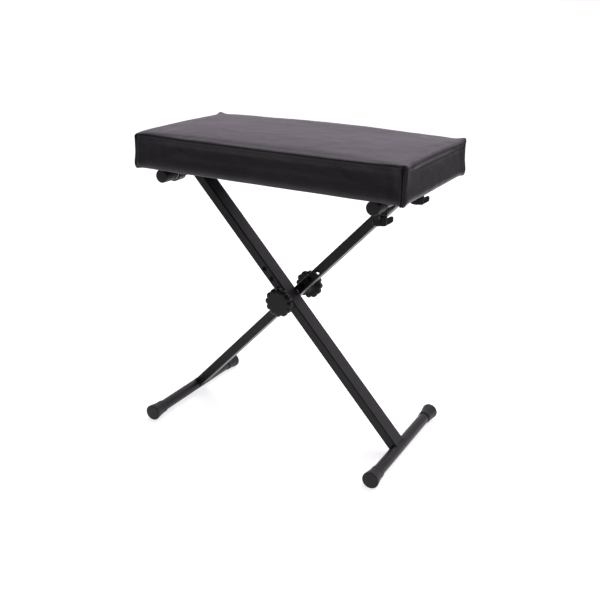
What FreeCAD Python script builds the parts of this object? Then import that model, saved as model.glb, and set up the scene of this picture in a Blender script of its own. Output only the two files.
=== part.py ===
import FreeCAD, Part
import Sketcher
import math
import os

# Folding keyboard bench: a padded seat on a cross frame of two rectangular legs.
# Each leg is welded to a round foot tube below and a round cross tube above.
# Frame: origin on the floor under the middle of the bench, +X along the seat towards
# the clamp side, +Y away from the front knob, +Z up. Millimetres.

os.makedirs("parts", exist_ok=True)
doc = FreeCAD.newDocument("keyboard_bench")
Vector = FreeCAD.Vector

# Driving dimensions
DRIVING_SIZES = [
    ("frame_shift", -3.7, "middle of the frame from the middle of the seat, along X"),
    ("leg_angle", 47.1, "leg's slope from the floor, degrees"),
    ("leg_below", 308.4, "pivot to foot tube axis, along the leg"),
    ("leg_above", 268.9, "pivot to top tube axis, along the leg"),
    ("leg_width", 16, "leg tube's narrow side"),
    ("leg_depth", 30, "leg tube's wide side, along Y"),
    ("leg_wall", 1.5, "leg tube's wall"),
    ("leg_corner", 2, "leg tube's outer corner radius"),
    ("leg_gap", 1, "gap between the legs, filled by the spacer"),
    ("hole_pitch", 20, "distance between height holes"),
    ("hole_radius", 4.08, "height hole"),
    ("tube_radius", 9.5, "round tubes, outside"),
    ("tube_wall", 1.5, "round tubes, wall"),
    ("foot_half", 130.5, "half the length of a foot, caps included"),
    ("top_half", 114, "half the length of a top tube, caps included"),
    ("foot_cap_length", 30, "foot cap"),
    ("foot_cap_radius", 13.7, "foot cap at its flared end"),
    ("foot_cap_start", 10.9, "foot cap at its inner end"),
    ("foot_cap_waist", 10.5, "foot cap's inner end to the start of its flare"),
    ("foot_cap_waist_radius", 11.1, "foot cap at the start of its flare"),
    ("foot_cap_shoulder", 22.5, "foot cap's inner end to its shoulder"),
    ("foot_cap_shoulder_radius", 12.9, "foot cap at its shoulder"),
    ("foot_cap_lip", 27, "foot cap's inner end to the end of its flare"),
    ("foot_flat", 0.4, "depth of the flat that a foot cap stands on"),
    ("top_cap_length", 28, "top tube's sleeve cap"),
    ("top_cap_radius", 10.7, "sleeve cap"),
    ("top_cap_rim", 11.2, "sleeve cap's rim"),
    ("cap_rim_length", 2.5, "length of a sleeve cap's rim"),
    ("cap_rim_slope", 0.8, "length of the slope behind that rim"),
    ("cap_end", 3, "thickness of a cap's end"),
    ("cap_round", 1.2, "rounding of a cap's end"),
    ("bolt_radius", 4, "pivot bolt"),
    ("washer_radius", 8, "pivot washers"),
    ("washer_thick", 1.6, "pivot washers"),
    ("knob_radius", 24.4, "knob over its lobes"),
    ("knob_lobe_radius", 5.4, "one lobe of a knob"),
    ("knob_lobes", 12, "number of lobes"),
    ("knob_hub_radius", 10.5, "knob's hub next to the leg"),
    ("knob_hub_length", 15, "knob's hub next to the leg"),
    ("knob_thick", 12, "knob's lobed disc"),
    ("knob_round", 4.5, "how far the lobed disc's rim is rounded back"),
    ("bolt_head", 6.5, "half the bolt head's width across flats"),
    ("bolt_head_thick", 5.3, "bolt head"),
    ("insert_radius", 7, "threaded insert in the rear knob"),
    ("insert_room", 1, "insert beyond the bolt's end"),
    ("seat_half_length", 230, "half the cushion's length"),
    ("seat_half_width", 124, "half the cushion's width"),
    ("seat_gap", 11.5, "top tube axis to the seat's underside"),
    ("seat_side", 55, "cushion's underside to its top edge at the sides"),
    ("seat_crown", 5, "rise of the cushion's middle above its top edge"),
    ("seat_rim", 9, "rounding of the cushion's top edge"),
    ("seat_corner", 10, "cushion's upright corners"),
    ("seat_draw", 1.2, "how far the cover draws the sides in at the bottom"),
    ("cover_thick", 1.2, "cover material"),
    ("board_thick", 12, "seat board"),
    ("flap_width", 16, "cover turned under the board"),
    ("strap_thick", 2, "saddle strap"),
    ("strap_width", 18, "saddle strap along the tube"),
    ("bush_thick", 1.9, "saddle's liner bush"),
    ("running_gap", 0.06, "liner bush on its tube"),
    ("strap_ear", 15, "saddle ear beyond the strap"),
    ("bracket_y", 74, "saddles and hooks from the bench's middle"),
    ("hook_thick", 2.5, "hook bracket's plate"),
    ("hook_width", 16, "hook bracket along the tube"),
    ("hook_gap", 0.3, "hook bracket to its tube"),
    ("hook_flange", 27, "hook's flange under the board"),
    ("hook_lip", 9, "hook's lip beyond the tube's middle"),
    ("hook_screw_spread", 7, "hook screws from the middle of the flange"),
    ("screw_radius", 2.9, "bracket screws"),
    ("screw_head_radius", 4.8, "bracket screws' heads"),
    ("screw_head_thick", 2.6, "bracket screws' heads"),
    ("screw_socket", 1.6, "half the socket's width across flats"),
    ("screw_length", 11, "bracket screws under the head"),
    ("nut_radius", 4, "tee nut's barrel"),
    ("nut_flange_radius", 8, "tee nut's flange"),
    ("nut_flange_thick", 1.2, "tee nut's flange"),
    ("nut_barrel", 8, "tee nut's barrel below its flange"),
    ("stud_radius", 3, "wing screw's thread"),
    ("thread_gap", 0.05, "bore over the thread in it, on the radius"),
    ("stud_floor", 5, "handle's bottom to the end of the stud in it"),
    ("weld_nut_height", 5, "weld nut under the hook's lip"),
    ("weld_nut_half", 5, "half the weld nut's width across flats"),
    ("wing_hub_radius", 6, "wing screw's hub"),
    ("wing_height", 11, "wing screw's handle"),
    ("wing_reach", 19, "wing tip from the screw's axis"),
    ("wing_thick", 5, "wing"),
    ("wing_foot", 8.2, "half the width of the handle's flat bottom"),
    ("wing_tip_low", 3.2, "wing tip's lower corner above the handle's bottom"),
    ("wing_tip_high", 10.4, "wing tip's upper corner above the handle's bottom"),
    ("wing_peak", 11.4, "wing's peak above the handle's bottom"),
    ("wing_peak_reach", 16.5, "wing's peak from the screw's axis"),
    ("wing_saddle", 9.2, "wing's top next to the hub"),
    ("wing_saddle_reach", 7.8, "start of the wing's rise from the screw's axis"),
    ("wing_drop", 5.5, "weld nut to the handle's top"),
    ("wing_gap", 1, "weld nut to the hub"),
    ("wing_turn", 64, "turn of the wings from +X, degrees"),
    ("staple_pitch", 28, "staples along the flap"),
    ("staple_width", 9, "staple's back"),
    ("staple_wire", 0.5, "staple wire"),
    ("staple_leg", 6, "staple's legs"),
    ("margin", 10, "how far a cutting solid runs past the piece"),
    ("overlap", 1, "how far a short cutting or joining solid runs on"),
]
sheet = doc.addObject("Spreadsheet::Sheet", "sizes")
for row, (alias, amount, meaning) in enumerate(DRIVING_SIZES, 1):
    sheet.set(f"A{row}", meaning)
    sheet.set(f"B{row}", str(amount))
    sheet.setAlias(f"B{row}", alias)
doc.recompute()

# Places that follow from the driving dimensions
FOOT_Z = "(sizes.foot_cap_radius - sizes.foot_flat)"
FOOT_REACH = "sizes.leg_below * cos(sizes.leg_angle * 1 deg)"
RIGHT_FOOT_X = f"(sizes.frame_shift + {FOOT_REACH})"
LEFT_FOOT_X = f"(sizes.frame_shift - {FOOT_REACH})"
PIVOT_X = "sizes.frame_shift"
PIVOT_Z = f"({FOOT_Z} + sizes.leg_below * sin(sizes.leg_angle * 1 deg))"
TOP_REACH = "sizes.leg_above * cos(sizes.leg_angle * 1 deg)"
RIGHT_TOP_X = f"(sizes.frame_shift + {TOP_REACH})"
LEFT_TOP_X = f"(sizes.frame_shift - {TOP_REACH})"
TOP_Z = f"({PIVOT_Z} + sizes.leg_above * sin(sizes.leg_angle * 1 deg))"
UNDERSIDE_Z = f"({TOP_Z} + sizes.seat_gap)"
BOARD_Z = f"({UNDERSIDE_Z} + sizes.cover_thick)"
BOARD_TOP_Z = f"({BOARD_Z} + sizes.board_thick)"
LEG_Y = "((sizes.leg_depth + sizes.leg_gap) / 2)"
OUTER_Y = "(sizes.leg_depth + sizes.leg_gap / 2)"
STRAP_INNER = "(sizes.tube_radius + sizes.running_gap + sizes.bush_thick)"
STRAP_OUTER = f"({STRAP_INNER} + sizes.strap_thick)"
EAR_SCREW = f"({STRAP_OUTER} + sizes.strap_ear / 2)"
HOOK_INNER = "(sizes.tube_radius + sizes.hook_gap)"
HOOK_OUTER = f"({HOOK_INNER} + sizes.hook_thick)"
HOOK_SCREW_X = f"({RIGHT_TOP_X} - {HOOK_OUTER} - sizes.hook_flange / 2)"
NUT_Z = f"({TOP_Z} - {HOOK_OUTER} - sizes.weld_nut_height)"
WING_Z = f"({NUT_Z} - sizes.wing_drop)"
LOBE_CIRCLE = "(sizes.knob_radius - sizes.knob_lobe_radius)"
BOARD_HALF_LENGTH = "(sizes.seat_half_length - sizes.seat_draw - sizes.cover_thick)"
BOARD_HALF_WIDTH = "(sizes.seat_half_width - sizes.seat_draw - sizes.cover_thick)"

HOLES_IN_ROW = 4
CLOSE = 0.01
TURN_STEP_IN = 0.3
TURN_STEP_DOWN = 0.35
CROWN_LOSS_AT_ENDS = 0.4
TOP_DROP_AT_ENDS = 0.8
SIDE_DROP_AT_ENDS = 0.4
BULGE_SHARE = 0.25
END_SECTION_ANGLES = (0, 30, 55, 75, 90)
STRAIGHT_PARTS = 4
STAPLES_BESIDE_MIDDLE = 7
END_STAPLES_BESIDE_MIDDLE = 2

TOWARDS_BACK = FreeCAD.Rotation(Vector(1, 0, 0), -90)
TOWARDS_FRONT = FreeCAD.Rotation(Vector(1, 0, 0), 90)
UPRIGHT = FreeCAD.Rotation()

sub_parts = []


def number(rule):
    """The value that a rule on the sheet's sizes gives now."""
    result = sheet.evalExpression(rule)
    return float(getattr(result, "Value", result))


def bind(item, **rules):
    for name, rule in rules.items():
        item.setExpression(name, rule)
    return item


def put(item, x="0", y="0", z="0", turn=UPRIGHT):
    """Place an object: its turn is fixed, its position follows the sheet."""
    item.Placement = FreeCAD.Placement(Vector(), turn)
    item.setExpression("Placement.Base.x", x)
    item.setExpression("Placement.Base.y", y)
    item.setExpression("Placement.Base.z", z)
    return item


def box(name, length, width, height, x, y, z):
    item = bind(doc.addObject("Part::Box", name), Length=length, Width=width, Height=height)
    return put(item, x, y, z)


def cylinder(name, radius, height, x="0", y="0", z="0", turn=UPRIGHT):
    item = bind(doc.addObject("Part::Cylinder", name), Radius=radius, Height=height)
    return put(item, x, y, z, turn)


def hexagon(name, half_flats, height, x, y, z, turn=UPRIGHT):
    item = doc.addObject("Part::Prism", name)
    item.Polygon = 6
    bind(item, Circumradius=f"{half_flats} / cos(30 deg)", Height=height)
    return put(item, x, y, z, turn)


def fuse(name, pieces):
    item = doc.addObject("Part::MultiFuse", name)
    item.Shapes = pieces
    return item


def cut(name, base, tools):
    item = doc.addObject("Part::Cut", name)
    item.Base = base
    item.Tool = tools[0] if len(tools) == 1 else fuse(name + "_tools", tools)
    return item


def group(name, pieces):
    """Identical fasteners, kept as separate solids in one node."""
    item = doc.addObject("Part::Compound", name)
    item.Links = pieces
    return sub_part(item, name)


def sub_part(item, label):
    item.Label = label
    sub_parts.append(item)
    return item


def new_body(name):
    return doc.addObject("PartDesign::Body", name)


def plane(body, role):
    return [item for item in body.Origin.OriginFeatures if item.Role == role][0]


def sketch_on(body, role, name):
    sketch = body.newObject("Sketcher::SketchObject", name)
    sketch.AttachmentSupport = [(plane(body, role), "")]
    sketch.MapMode = "FlatFace"
    return sketch


def pin_point(sketch, shape_number, end, x_rule, y_rule):
    """Hold one end of a sketch's line or circle at a place that follows the sheet."""
    for kind, axis, rule in (("DistanceX", -2, x_rule), ("DistanceY", -1, y_rule)):
        if rule == "0":
            sketch.addConstraint(Sketcher.Constraint("PointOnObject", shape_number, end, axis))
            continue
        held = Sketcher.Constraint(kind, -1, 1, shape_number, end, number(rule))
        sketch.setExpression(f"Constraints[{sketch.addConstraint(held)}]", rule)


def draw_circle(sketch, radius_rule, x_rule="0", y_rule="0"):
    centre = Vector(number(x_rule), number(y_rule), 0)
    ring = Part.Circle(centre, Vector(0, 0, 1), number(radius_rule))
    shape_number = sketch.addGeometry(ring)
    pin_point(sketch, shape_number, 3, x_rule, y_rule)
    size = Sketcher.Constraint("Radius", shape_number, number(radius_rule))
    sketch.setExpression(f"Constraints[{sketch.addConstraint(size)}]", radius_rule)


def draw_outline(sketch, corners):
    """A closed outline of straight lines. Each corner is a pair of rules."""
    points = [Vector(number(x), number(y), 0) for x, y in corners]
    first = sketch.GeometryCount
    for start, end in zip(points, points[1:] + points[:1]):
        sketch.addGeometry(Part.LineSegment(start, end))
    for step in range(len(points)):
        this_line = first + step
        next_line = first + (step + 1) % len(points)
        sketch.addConstraint(Sketcher.Constraint("Coincident", this_line, 2, next_line, 1))
    for step, (x_rule, y_rule) in enumerate(corners):
        pin_point(sketch, first + step, 1, x_rule, y_rule)


def pad(body, sketch, length_rule, both_ways=False):
    item = body.newObject("PartDesign::Pad", sketch.Name + "_pad")
    item.Profile = sketch
    item.setExpression("Length", length_rule)
    item.Midplane = both_ways
    body.Tip = item
    doc.recompute()
    return item


def pocket_through(body, sketch):
    before = body.Shape.Volume
    item = body.newObject("PartDesign::Pocket", sketch.Name + "_pocket")
    item.Profile = sketch
    item.Type = "ThroughAll"
    item.Midplane = True
    body.Tip = item
    doc.recompute()
    assert body.Shape.Volume < before - 1, sketch.Name + " cut nothing"
    return item


def turned_body(name, corners):
    """A body turned about its own Z axis. Corners are (radius, height) rules."""
    body = new_body(name)
    sketch = sketch_on(body, "XZ_Plane", name + "_profile")
    draw_outline(sketch, corners)
    item = body.newObject("PartDesign::Revolution", name + "_turned")
    item.Profile = sketch
    item.ReferenceAxis = (sketch, ["V_Axis"])
    item.Angle = 360
    body.Tip = item
    doc.recompute()
    return body


def end_circle(height_rule, radius_rule):
    """A test that picks a turned body's circular edge of this radius at this height."""
    height = number(height_rule)
    length = 2 * math.pi * number(radius_rule)
    return lambda edge: abs(edge.CenterOfMass.z - height) < CLOSE and abs(edge.Length - length) < CLOSE


def round_edges(body, name, radius_rule, is_wanted):
    """Fillet the body's edges that is_wanted picks."""
    base = body.Tip
    picked = [f"Edge{place}" for place, edge in enumerate(body.Shape.Edges, 1) if is_wanted(edge)]
    item = body.newObject("PartDesign::Fillet", name)
    item.Base = (base, picked)
    item.setExpression("Radius", radius_rule)
    body.Tip = item
    doc.recompute()
    return item


# Round tubes: a ring padded both ways from the bench's middle plane
def round_tube(name, half_length, cap_end, x, z):
    body = new_body(name)
    ring = sketch_on(body, "XZ_Plane", name + "_ring")
    draw_circle(ring, "sizes.tube_radius")
    draw_circle(ring, "sizes.tube_radius - sizes.tube_wall")
    pad(body, ring, f"2 * ({half_length} - {cap_end})", both_ways=True)
    put(body, x, "0", z)
    return sub_part(body, name)


right_foot_tube = round_tube("right_foot_tube", "sizes.foot_half", "sizes.cap_end", RIGHT_FOOT_X, FOOT_Z)
left_foot_tube = round_tube("left_foot_tube", "sizes.foot_half", "sizes.cap_end", LEFT_FOOT_X, FOOT_Z)
left_top_tube = round_tube("left_top_tube", "sizes.top_half", "sizes.cap_end", LEFT_TOP_X, TOP_Z)
right_top_tube = round_tube("right_top_tube", "sizes.top_half", "sizes.cap_end", RIGHT_TOP_X, TOP_Z)


# Legs: hollow rectangular tube along the body's Z axis, with its row of bolt holes.
# The ends are coped to sit on the round tubes, where they are welded.
def leg(name, y, angle, foot_x, top_x):
    body = new_body(name + "_tube")
    section = sketch_on(body, "XY_Plane", name + "_section")
    for inset in ("0", "sizes.leg_wall"):
        across = f"(sizes.leg_width / 2 - {inset})"
        along = f"(sizes.leg_depth / 2 - {inset})"
        draw_outline(section, [(f"-{across}", f"-{along}"), (across, f"-{along}"),
                               (across, along), (f"-{across}", along)])
    section.setExpression("AttachmentOffset.Base.z", "-sizes.leg_below")
    pad(body, section, "sizes.leg_below + sizes.leg_above")
    corner = Vector(number("sizes.leg_width / 2"), number("sizes.leg_depth / 2"), 0)

    def is_outer_corner(edge):
        middle = edge.CenterOfMass
        return abs(abs(middle.x) - corner.x) < CLOSE and abs(abs(middle.y) - corner.y) < CLOSE

    round_edges(body, name + "_corners", "sizes.leg_corner", is_outer_corner)
    holes = sketch_on(body, "XZ_Plane", name + "_holes")
    for step in range(HOLES_IN_ROW):
        draw_circle(holes, "sizes.hole_radius", "0", f"{step} * sizes.hole_pitch" if step else "0")
    pocket_through(body, holes)
    put(body, PIVOT_X, y, PIVOT_Z, FreeCAD.Rotation(Vector(0, 1, 0), 1))
    body.setExpression("Placement.Rotation.Angle", angle)
    cope_length = "sizes.leg_depth + 2 * sizes.margin"
    cope_y = f"{y} - sizes.leg_depth / 2 - sizes.margin"
    ends = [cylinder(f"{name}_foot_cope", "sizes.tube_radius", cope_length,
                     foot_x, cope_y, FOOT_Z, TOWARDS_BACK),
            cylinder(f"{name}_top_cope", "sizes.tube_radius", cope_length,
                     top_x, cope_y, TOP_Z, TOWARDS_BACK)]
    return sub_part(cut(name, body, ends), name)


front_leg = leg("front_leg", f"-{LEG_Y}", "sizes.leg_angle - 90", RIGHT_FOOT_X, LEFT_TOP_X)
rear_leg = leg("rear_leg", LEG_Y, "90 - sizes.leg_angle", LEFT_FOOT_X, RIGHT_TOP_X)


# Foot caps: sleeves that flare outwards, with a small flat where they stand on the floor
def foot_cap(name, x, side):
    length = "sizes.foot_cap_length"
    body = turned_body(name + "_turning", [
        ("sizes.tube_radius", "0"),
        ("sizes.foot_cap_start", "0"),
        ("sizes.foot_cap_waist_radius", "sizes.foot_cap_waist"),
        ("sizes.foot_cap_shoulder_radius", "sizes.foot_cap_shoulder"),
        ("sizes.foot_cap_radius", "sizes.foot_cap_lip"),
        ("sizes.foot_cap_radius", length),
        ("0", length),
        ("0", f"{length} - sizes.cap_end"),
        ("sizes.tube_radius", f"{length} - sizes.cap_end")])
    round_edges(body, name + "_end", "sizes.cap_round", end_circle(length, "sizes.foot_cap_radius"))
    inner_end = f"{side} * (sizes.foot_half - {length})"
    put(body, x, inner_end, FOOT_Z, TOWARDS_BACK if side > 0 else TOWARDS_FRONT)
    floor_start = f"{side} * (sizes.foot_half - {length} / 2) - {length} / 2 - sizes.margin"
    floor = box(name + "_floor", "4 * sizes.foot_cap_radius", f"{length} + 2 * sizes.margin",
                "sizes.margin", f"{x} - 2 * sizes.foot_cap_radius", floor_start, "-sizes.margin")
    return sub_part(cut(name, body, [floor]), name)


for end_name, side in (("front", -1), ("rear", 1)):
    foot_cap(f"right_foot_cap_{end_name}", RIGHT_FOOT_X, side)
    foot_cap(f"left_foot_cap_{end_name}", LEFT_FOOT_X, side)


# Top caps: straight sleeves with a small rim at the inner end
def top_cap(name, x, side):
    length = "sizes.top_cap_length"
    body = turned_body(name, [
        ("sizes.tube_radius", "0"),
        ("sizes.top_cap_rim", "0"),
        ("sizes.top_cap_rim", "sizes.cap_rim_length"),
        ("sizes.top_cap_radius", "sizes.cap_rim_length + sizes.cap_rim_slope"),
        ("sizes.top_cap_radius", length),
        ("0", length),
        ("0", f"{length} - sizes.cap_end"),
        ("sizes.tube_radius", f"{length} - sizes.cap_end")])
    round_edges(body, name + "_end", "sizes.cap_round", end_circle(length, "sizes.top_cap_radius"))
    inner_end = f"{side} * (sizes.top_half - {length})"
    put(body, x, inner_end, TOP_Z, TOWARDS_BACK if side > 0 else TOWARDS_FRONT)
    return sub_part(body, name)


for end_name, side in (("front", -1), ("rear", 1)):
    top_cap(f"left_top_cap_{end_name}", LEFT_TOP_X, side)
    top_cap(f"right_top_cap_{end_name}", RIGHT_TOP_X, side)


# Pivot: one bolt through both legs, held by its head in the front knob
def washer(name, radius, thickness, y):
    body = new_body(name)
    ring = sketch_on(body, "XZ_Plane", name + "_ring")
    draw_circle(ring, radius)
    draw_circle(ring, "sizes.hole_radius")
    pad(body, ring, thickness, both_ways=True)
    put(body, PIVOT_X, y, PIVOT_Z)
    return sub_part(body, name)


washer("front_washer", "sizes.washer_radius", "sizes.washer_thick", f"-{OUTER_Y} - sizes.washer_thick / 2")
washer("leg_spacer", "sizes.washer_radius", "sizes.leg_gap", "0")
washer("rear_washer", "sizes.washer_radius", "sizes.washer_thick", f"{OUTER_Y} + sizes.washer_thick / 2")

KNOB_START = f"({OUTER_Y} + sizes.washer_thick)"
HEAD_START = f"({KNOB_START} + sizes.knob_hub_length)"
BOLT_END = f"({KNOB_START} + sizes.knob_hub_length + sizes.knob_thick / 2)"

bolt_shank = cylinder("bolt_shank", "sizes.bolt_radius", f"{HEAD_START} + {BOLT_END}",
                      PIVOT_X, f"-{HEAD_START}", PIVOT_Z, TOWARDS_BACK)
bolt_head = hexagon("bolt_head", "sizes.bolt_head", "sizes.bolt_head_thick",
                    PIVOT_X, f"-{HEAD_START} - sizes.bolt_head_thick", PIVOT_Z, TOWARDS_BACK)
sub_part(fuse("pivot_bolt", [bolt_shank, bolt_head]), "pivot_bolt")


# Knobs: a hub and a lobed disc whose rim is rounded by a turned envelope.
# The body's Z axis points away from the leg.
def knob(name, side):
    turn = TOWARDS_BACK if side > 0 else TOWARDS_FRONT
    start = f"{side} * {KNOB_START}"
    lobes = new_body(name + "_lobes")
    disc = sketch_on(lobes, "XY_Plane", name + "_disc")
    draw_circle(disc, LOBE_CIRCLE)
    disc.setExpression("AttachmentOffset.Base.z", "sizes.knob_hub_length")
    pad(lobes, disc, "sizes.knob_thick")
    lobe = sketch_on(lobes, "XY_Plane", name + "_lobe")
    draw_circle(lobe, "sizes.knob_lobe_radius", LOBE_CIRCLE, "0")
    lobe.setExpression("AttachmentOffset.Base.z", "sizes.knob_hub_length")
    lobe_pad = pad(lobes, lobe, "sizes.knob_thick")
    pattern = lobes.newObject("PartDesign::PolarPattern", name + "_pattern")
    pattern.Originals = [lobe_pad]
    pattern.Axis = (plane(lobes, "Z_Axis"), [""])
    pattern.Angle = 360
    pattern.setExpression("Occurrences", "sizes.knob_lobes")
    lobes.Tip = pattern
    doc.recompute()
    rounding = "sizes.knob_round"
    top = "(sizes.knob_hub_length + sizes.knob_thick)"
    envelope = turned_body(name + "_envelope", [
        ("0", "0"),
        ("sizes.knob_hub_radius", "0"),
        ("sizes.knob_hub_radius", "sizes.knob_hub_length"),
        (f"sizes.knob_radius - {rounding} / 2", "sizes.knob_hub_length"),
        ("sizes.knob_radius", f"sizes.knob_hub_length + {rounding} / 2"),
        ("sizes.knob_radius", f"{top} - {rounding}"),
        (f"sizes.knob_radius - {rounding} * {TURN_STEP_IN}", f"{top} - {rounding} * {TURN_STEP_DOWN}"),
        (f"sizes.knob_radius - {rounding}", top),
        ("0", top)])
    hub = cylinder(name + "_hub", "sizes.knob_hub_radius", "sizes.knob_hub_length + sizes.overlap")
    solid = doc.addObject("Part::MultiCommon", name + "_solid")
    solid.Shapes = [fuse(name + "_blank", [lobes, hub]), envelope]
    put(solid, PIVOT_X, start, PIVOT_Z, turn)
    return solid


bore = cylinder("front_knob_bore", "sizes.bolt_radius", "sizes.knob_hub_length + sizes.overlap",
                PIVOT_X, f"-{KNOB_START}", PIVOT_Z, TOWARDS_FRONT)
head_seat = hexagon("front_knob_head_seat", "sizes.bolt_head", "sizes.bolt_head_thick",
                    PIVOT_X, f"-{HEAD_START} - sizes.bolt_head_thick", PIVOT_Z, TOWARDS_BACK)
sub_part(cut("front_knob", knob("front_knob", -1), [bore, head_seat]), "front_knob")

INSERT_LENGTH = "(sizes.knob_hub_length + sizes.knob_thick / 2 + sizes.insert_room)"
insert_seat = cylinder("rear_knob_insert_seat", "sizes.insert_radius", INSERT_LENGTH,
                       PIVOT_X, KNOB_START, PIVOT_Z, TOWARDS_BACK)
sub_part(cut("rear_knob", knob("rear_knob", 1), [insert_seat]), "rear_knob")

insert_blank = cylinder("insert_blank", "sizes.insert_radius", INSERT_LENGTH,
                        PIVOT_X, KNOB_START, PIVOT_Z, TOWARDS_BACK)
insert_bore = cylinder("insert_bore", "sizes.bolt_radius + sizes.thread_gap", INSERT_LENGTH,
                       PIVOT_X, KNOB_START, PIVOT_Z, TOWARDS_BACK)
sub_part(cut("rear_knob_insert", insert_blank, [insert_bore]), "rear_knob_insert")


# Seat board: a rounded plate with a recessed tee nut above each bracket screw
SADDLE_SCREWS = [(f"{LEFT_TOP_X} {sign} {EAR_SCREW}", f"{side} * sizes.bracket_y")
                 for side in (-1, 1) for sign in ("-", "+")]
HOOK_SCREWS = [(f"{HOOK_SCREW_X} {sign} sizes.hook_screw_spread", f"{side} * sizes.bracket_y")
               for side in (-1, 1) for sign in ("-", "+")]
BRACKET_SCREWS = SADDLE_SCREWS + HOOK_SCREWS

board = new_body("board")
board_plan = sketch_on(board, "XY_Plane", "board_plan")
draw_outline(board_plan, [(f"{sx}{BOARD_HALF_LENGTH}", f"{sy}{BOARD_HALF_WIDTH}")
                          for sx, sy in (("-", "-"), ("", "-"), ("", ""), ("-", ""))])
pad(board, board_plan, "sizes.board_thick")
round_edges(board, "board_corners", "sizes.seat_corner",
            lambda edge: abs(edge.Length - number("sizes.board_thick")) < CLOSE)
board_holes = sketch_on(board, "XY_Plane", "board_holes")
for x, y in BRACKET_SCREWS:
    draw_circle(board_holes, "sizes.nut_radius", x, y)
pocket_through(board, board_holes)
put(board, "0", "0", BOARD_Z)
NUT_FLANGE_Z = f"({BOARD_TOP_Z} - sizes.nut_flange_thick)"
RECESS_DEPTH = "sizes.nut_flange_thick + sizes.overlap"
recesses = [cylinder(f"nut_recess_{step}", "sizes.nut_flange_radius", RECESS_DEPTH, x, y, NUT_FLANGE_Z)
            for step, (x, y) in enumerate(BRACKET_SCREWS)]
sub_part(cut("seat_board", board, recesses), "seat_board")

tee_nuts = []
for step, (x, y) in enumerate(BRACKET_SCREWS):
    flange = cylinder(f"nut_flange_{step}", "sizes.nut_flange_radius", "sizes.nut_flange_thick",
                      x, y, NUT_FLANGE_Z)
    barrel = cylinder(f"nut_barrel_{step}", "sizes.nut_radius", "sizes.nut_barrel",
                      x, y, f"{NUT_FLANGE_Z} - sizes.nut_barrel")
    thread = cylinder(f"nut_thread_{step}", "sizes.screw_radius", "sizes.nut_barrel + sizes.margin",
                      x, y, f"{NUT_FLANGE_Z} - sizes.nut_barrel - sizes.overlap")
    tee_nuts.append(cut(f"tee_nut_{step}", fuse(f"nut_blank_{step}", [flange, barrel]), [thread]))
group("tee_nuts", tee_nuts)


# Cushion: cross-sections along X, joined by a ruled loft. Each section has a flat bottom,
# sides that bulge slightly, rounded top edges and a crown.
def cushion_section(x, half_length, half_width, bottom, inset):
    corner = number("sizes.seat_corner") - inset
    rim = number("sizes.seat_rim") - inset
    draw = number("sizes.seat_draw")
    edge_top = number(f"{UNDERSIDE_Z} + sizes.seat_side") - inset
    crown = number("sizes.seat_crown") * (1 - CROWN_LOSS_AT_ENDS * (x / half_length) ** 2)
    from_end = half_length - abs(x)
    plan_inset = corner - math.sqrt(max(0, corner ** 2 - max(0, corner - from_end) ** 2))
    drop = rim - math.sqrt(max(0, rim ** 2 - max(0, rim - from_end) ** 2))
    side = half_width - plan_inset
    rim_low = edge_top - rim
    rim_top = edge_top - TOP_DROP_AT_ENDS * drop
    rim_in = side - rim
    lean = 1 - math.sqrt(0.5)

    def point(y, z):
        return Vector(x, y, z)

    right_foot = point(side - draw, bottom)
    left_foot = point(draw - side, bottom)
    middle = (bottom + rim_low) / 2 - SIDE_DROP_AT_ENDS * drop
    low = rim_low - TOP_DROP_AT_ENDS * drop
    edges = [
        Part.LineSegment(left_foot, right_foot),
        Part.Arc(right_foot, point(side - draw * BULGE_SHARE, middle), point(side, low)),
        Part.Arc(point(side, low), point(side - rim * lean, rim_top - rim * lean), point(rim_in, rim_top)),
        Part.Arc(point(rim_in, rim_top), point(0, rim_top + crown), point(-rim_in, rim_top)),
        Part.Arc(point(-rim_in, rim_top), point(rim * lean - side, rim_top - rim * lean), point(-side, low)),
        Part.Arc(point(-side, low), point(draw * BULGE_SHARE - side, middle), left_foot)]
    return Part.Wire([edge.toShape() for edge in edges])


def cushion_solid(inset, bottom_rule):
    half_length = number("sizes.seat_half_length") - inset
    half_width = number("sizes.seat_half_width") - inset
    corner = number("sizes.seat_corner") - inset
    bottom = number(bottom_rule)
    quarter = [half_length - corner * (1 - math.sin(math.radians(angle))) for angle in END_SECTION_ANGLES]
    straight = [quarter[0] * part / STRAIGHT_PARTS for part in range(1 - STRAIGHT_PARTS, STRAIGHT_PARTS)]
    places = [-x for x in reversed(quarter)] + straight + quarter
    sections = [cushion_section(x, half_length, half_width, bottom, inset) for x in places]
    return Part.makeLoft(sections, True, True)


cushion_outer = doc.addObject("Part::Feature", "cushion_outer")
cushion_outer.Shape = cushion_solid(0, UNDERSIDE_Z)
cushion_inner = doc.addObject("Part::Feature", "cushion_inner")
cushion_inner.Shape = cushion_solid(number("sizes.cover_thick"), BOARD_Z)

OPENING_HALF_LENGTH = f"({BOARD_HALF_LENGTH} - sizes.flap_width)"
OPENING_HALF_WIDTH = f"({BOARD_HALF_WIDTH} - sizes.flap_width)"
flap_opening = box("flap_opening", f"2 * {OPENING_HALF_LENGTH}", f"2 * {OPENING_HALF_WIDTH}",
                   "sizes.cover_thick + 2 * sizes.overlap", f"-{OPENING_HALF_LENGTH}",
                   f"-{OPENING_HALF_WIDTH}", f"{UNDERSIDE_Z} - sizes.overlap")
sub_part(cut("seat_cover", cushion_outer, [cushion_inner, flap_opening]), "seat_cover")

below_foam = box("below_foam", "2 * sizes.seat_half_length", "2 * sizes.seat_half_width",
                 "sizes.board_thick + sizes.margin", "-sizes.seat_half_length", "-sizes.seat_half_width",
                 f"{BOARD_Z} - sizes.margin")
sub_part(cut("seat_foam", cushion_inner, [below_foam]), "seat_foam")

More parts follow.
